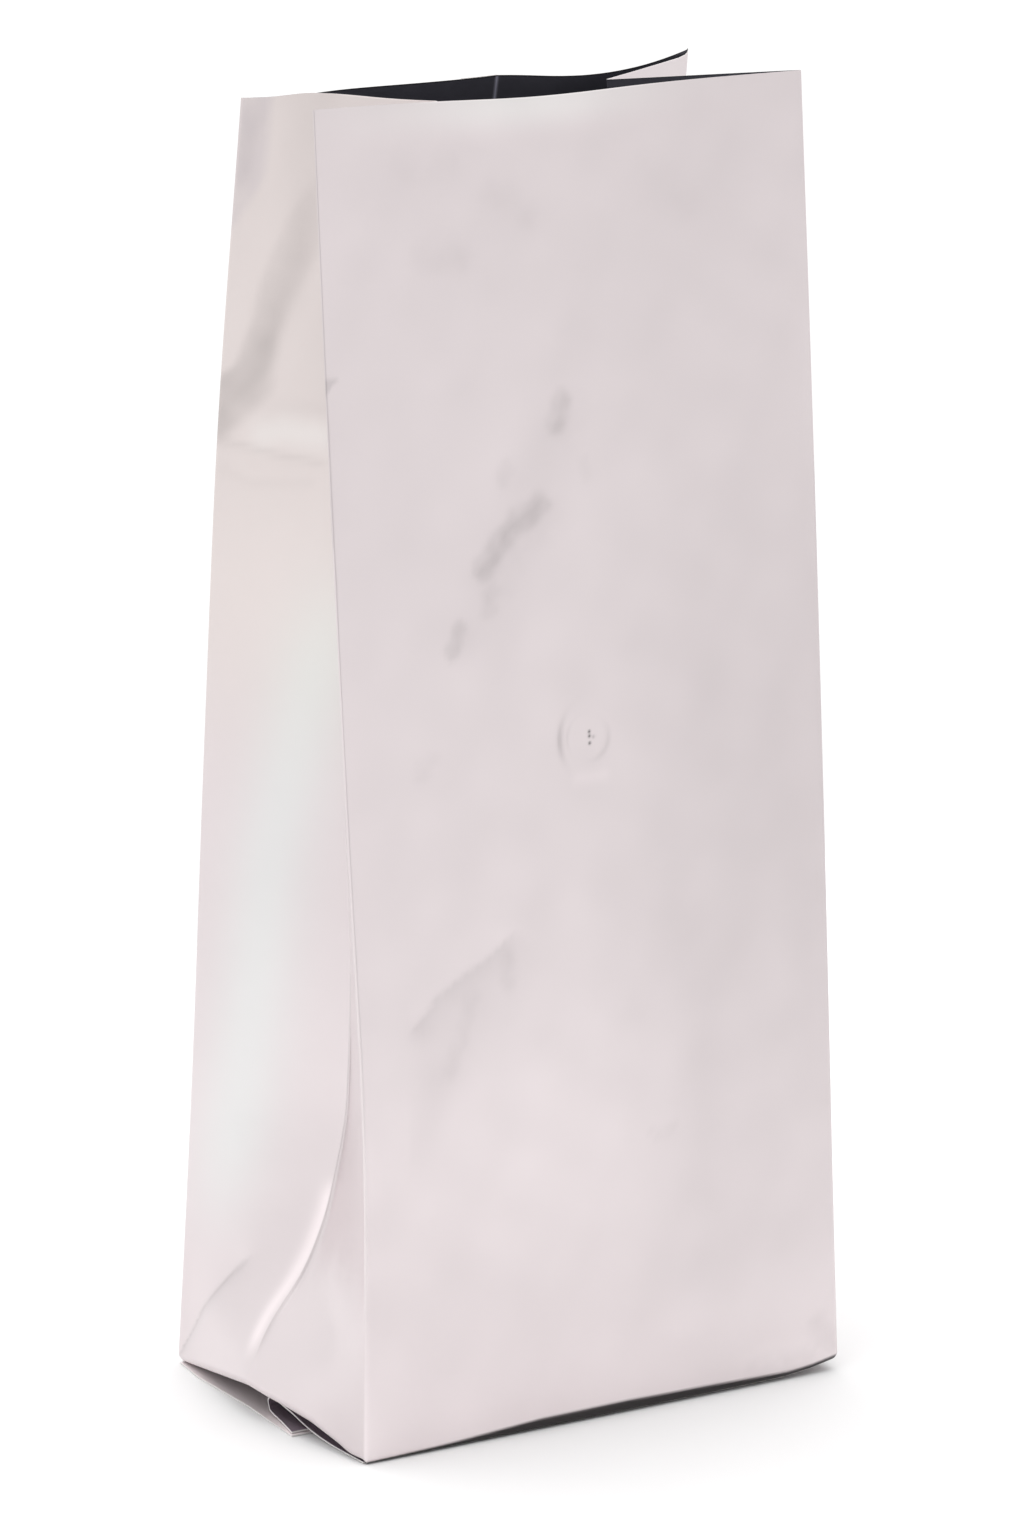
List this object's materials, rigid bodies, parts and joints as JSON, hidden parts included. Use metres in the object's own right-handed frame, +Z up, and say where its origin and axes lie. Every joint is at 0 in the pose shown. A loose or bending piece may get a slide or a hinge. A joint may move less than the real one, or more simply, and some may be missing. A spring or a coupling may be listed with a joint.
{
  "type": "coffee bag",
  "caption": "Empty standing side-gusset coffee bag of pearl silver foil film, open at the top, with a one-way valve, a back seam fin and a tucked end seal.",
  "frame": {"origin": "on the ground, under the centre of the bag's bounding box", "axes": "+Z up, the front panel with the valve faces -Y, +X to the right of someone looking at the front panel"},
  "size_m": [0.147, 0.095, 0.3151],
  "materials": {
    "film": "satin metallised film, pearl silver outside and dark foil grey inside",
    "valve": "matt"
  },
  "bodies": {
    "root": {"film": "film", "valve": "valve"}
  },
  "joints": []
}
